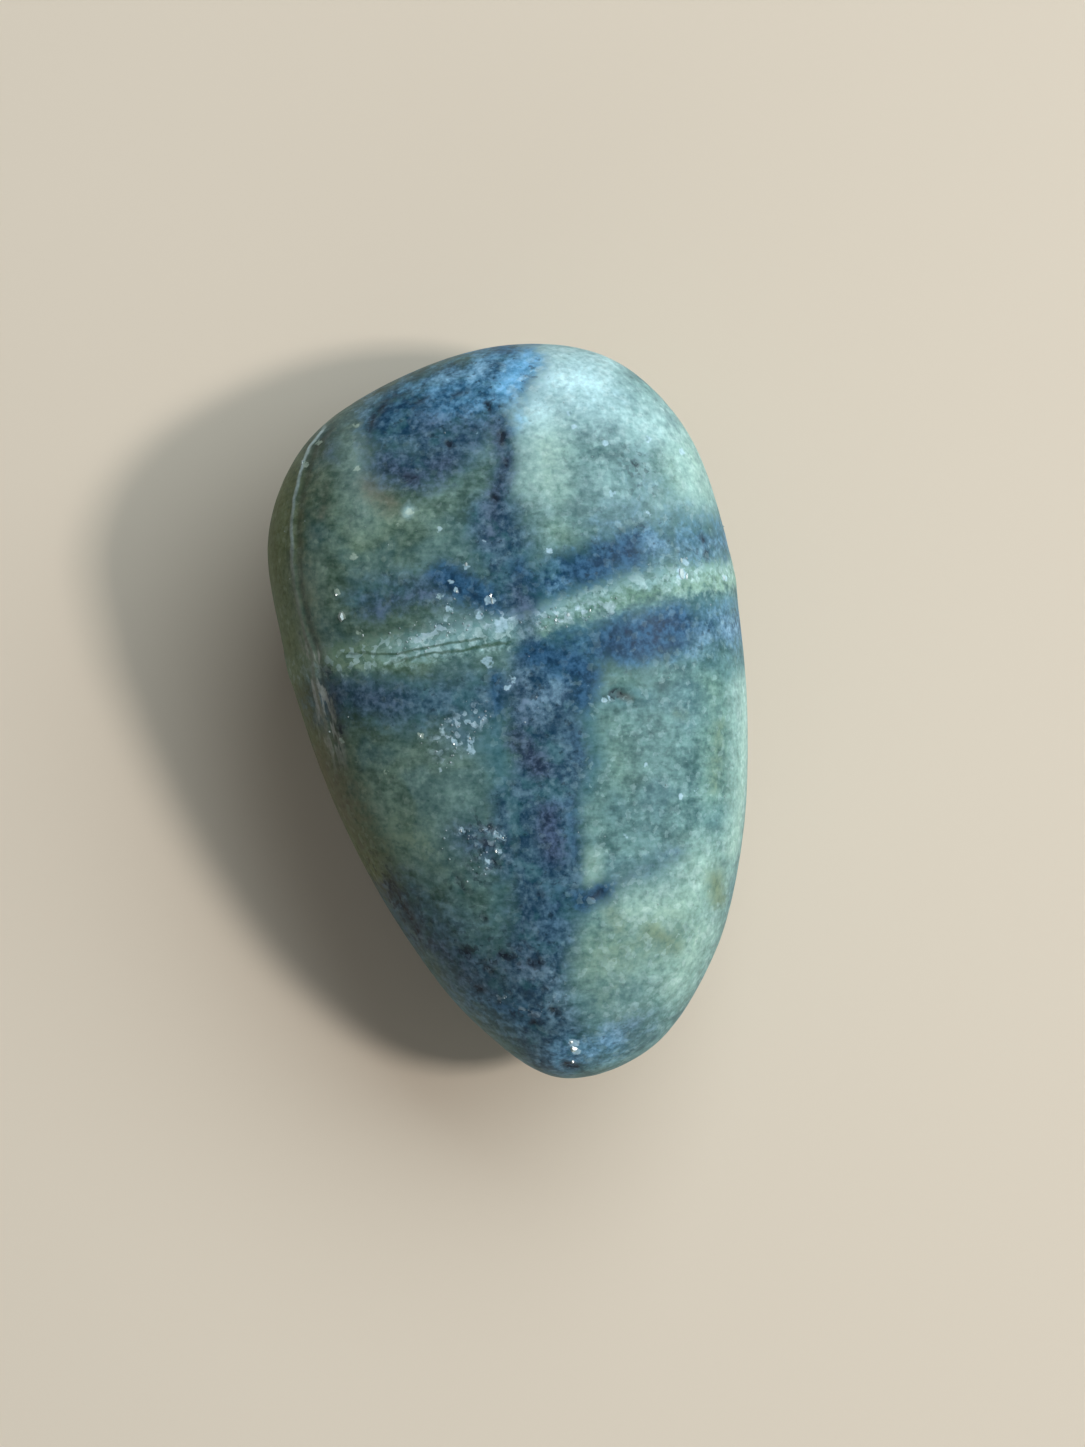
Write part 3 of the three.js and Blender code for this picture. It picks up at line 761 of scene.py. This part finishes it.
# Wear worked over the whole crown and flanks: a faint ripple left by tumbling, small scattered
# pits, and coarse grains that the polish has not taken down.
WEAR = {
    "Ripple Height": 0.05 * MM,
    "Ripple Length": 1.3 * MM,
    "Pit Depth": 0.06 * MM,
    "Pit Spacing": 1.4 * MM,
    "Grain Radius": 0.075 * MM,
    "Grains In Frost": 4.0 / MM**2,
    "Grains Elsewhere": 0.012 / MM**2,
}
worn = bpy.data.node_groups.new("worn_skin", "GeometryNodeTree")
worn.interface.new_socket("Geometry", in_out="INPUT", socket_type="NodeSocketGeometry")
worn.interface.new_socket("Geometry", in_out="OUTPUT", socket_type="NodeSocketGeometry")
sockets = {
    name: worn.interface.new_socket(name, in_out="INPUT", socket_type="NodeSocketFloat") for name in WEAR
}
sockets["Seed"] = worn.interface.new_socket("Seed", in_out="INPUT", socket_type="NodeSocketInt")
work = Flow(worn)


def given(name):
    """One of the tree's own inputs."""
    return work.node("NodeGroupInput", output=name)


def named(name):
    """A number kept on the skin."""
    settings = {"data_type": "FLOAT"}
    return work.node("GeometryNodeInputNamedAttribute", settings, {"Name": name}, "Attribute")


spot = work.node("GeometryNodeInputPosition")
outward = work.node("GeometryNodeInputNormal", output="Normal")
free = work.node("ShaderNodeSeparateXYZ", None, [spot], "Z").ramp(0.3 * MM, 3 * MM)
free = free * (1 - named("crystal"))
ripple_sockets = {"Vector": spot, "Scale": 1 / given("Ripple Length"), "Detail": 2.0}
ripple = work.node("ShaderNodeTexNoise", None, ripple_sockets, "Fac") - 0.5
pit_sockets = {"Vector": spot, "Scale": 1 / given("Pit Spacing")}
pit_gap = work.node("ShaderNodeTexVoronoi", None, pit_sockets, "Distance")
pitted = work.node("ShaderNodeTexNoise", None, {"Vector": spot, "Scale": 1 / (4 * MM)}, "Fac")
pit = pit_gap.ramp(0.05, 0.28, 1.0, 0.0) * pitted.ramp(0.5, 0.6)
lift = (ripple * given("Ripple Height") - pit * given("Pit Depth")) * free
offset = work.node("ShaderNodeVectorMath", {"operation": "SCALE"}, [outward, lift])
worked = work.node("GeometryNodeSetPosition", None, {"Geometry": given("Geometry"), "Offset": offset})

density = named("frost") * given("Grains In Frost") + given("Grains Elsewhere")
scatter_sockets = {"Mesh": worked, "Density": density * free, "Seed": given("Seed")}
points = work.node("GeometryNodeDistributePointsOnFaces", None, scatter_sockets, "Points")
mark = {"Geometry": points, "Name": "crystal", "Value": 0.7}
points = work.node("GeometryNodeStoreNamedAttribute", {"data_type": "FLOAT"}, mark)
ball = work.node("GeometryNodeMeshIcoSphere", None, {"Radius": 1.0, "Subdivisions": 1}, "Mesh")
ball = work.node("GeometryNodeSetShadeSmooth", None, {"Geometry": ball, "Shade Smooth": False})
turn = {"Min": (0.0, 0.0, 0.0), "Max": (math.tau, math.tau, math.tau), "Seed": given("Seed")}
turn = work.node("FunctionNodeRandomValue", {"data_type": "FLOAT_VECTOR"}, turn, "Value")
spread = {"Min": 0.5, "Max": 1.3, "Seed": given("Seed")}
spread = work.node("FunctionNodeRandomValue", {"data_type": "FLOAT"}, spread, "Value")
grain_sockets = {
    "Points": points,
    "Instance": ball,
    "Rotation": turn,
    "Scale": spread * given("Grain Radius"),
}
grains = work.node("GeometryNodeInstanceOnPoints", None, grain_sockets)
whole = work.node("GeometryNodeJoinGeometry", None, {"Geometry": [worked, grains]})
whole = work.node("GeometryNodeRealizeInstances", None, [whole])
whole = work.node("GeometryNodeSetMaterial", None, {"Geometry": whole, "Material": rock})
work.node("NodeGroupOutput", None, [whole])

polished = bpy.data.objects.new("polished", skin)
bpy.context.collection.objects.link(polished)
wear_modifier = polished.modifiers.new("wear", "NODES")
wear_modifier.node_group = worn
for name, value in {**WEAR, "Seed": 7}.items():
    wear_modifier[sockets[name].identifier] = value
palm_stone = bpy.data.objects.new("palm_stone", plain_mesh(polished, "palm_stone"))
bpy.data.objects.remove(polished)
bpy.context.collection.objects.link(palm_stone)
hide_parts("stone")
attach(palm_stone, "root")

# The table under the stone, plain and pale, and soft daylight: a small window on the right, a
# wide one beyond the broad end, the light that two walls throw back from low down, and an even
# pale sky all round.
table_mesh = bpy.data.meshes.new("table")
reach = 1.5  # metres from the middle to each side
table_corners = [(-reach, -reach, 0), (reach, -reach, 0), (reach, reach, 0), (-reach, reach, 0)]
table_mesh.from_pydata(table_corners, [], [(0, 1, 2, 3)])
table = bpy.data.objects.new("table", table_mesh)
bpy.context.collection.objects.link(table)
table_paint = bpy.data.materials.new("pale_table")
table_paint.use_nodes = True
matt = table_paint.node_tree.nodes["Principled BSDF"]
matt.inputs["Base Color"].default_value = colour(214, 201, 184)
matt.inputs["Roughness"].default_value = 0.9
table_mesh.materials.append(table_paint)


def window(name, azimuth, elevation, distance, size, power, tint):
    """A soft light that faces the stone from a compass direction, counted from +X."""
    lamp = bpy.data.lights.new(name, "AREA")
    lamp.shape = "RECTANGLE"
    lamp.size, lamp.size_y = size
    lamp.energy = power
    lamp.color = tint
    turn, rise = math.radians(azimuth), math.radians(elevation)
    flat = math.cos(rise)
    towards = Vector((flat * math.cos(turn), flat * math.sin(turn), math.sin(rise)))
    holder = bpy.data.objects.new(name, lamp)
    holder.location = towards * distance
    holder.rotation_euler = towards.to_track_quat("Z", "Y").to_euler()
    bpy.context.collection.objects.link(holder)


window("small_window", -2, 46, 0.9, (0.12, 0.12), 4.2, (1.0, 0.94, 0.88))
window("wide_window", 48, 42, 1.2, (1.6, 0.7), 14.0, (0.82, 0.94, 1.0))
window("near_wall", -95, 20, 1.3, (1.8, 0.6), 3.5, (0.78, 0.92, 1.0))
window("right_wall", 15, 18, 1.3, (1.6, 0.5), 2.5, (0.78, 0.92, 1.0))

sky = bpy.data.worlds.new("pale_sky")
sky.use_nodes = True
sky.node_tree.nodes["Background"].inputs["Color"].default_value = (1.0, 0.96, 0.9, 1.0)
sky.node_tree.nodes["Background"].inputs["Strength"].default_value = 0.14
bpy.context.scene.world = sky
bpy.context.scene.view_settings.view_transform = "Standard"
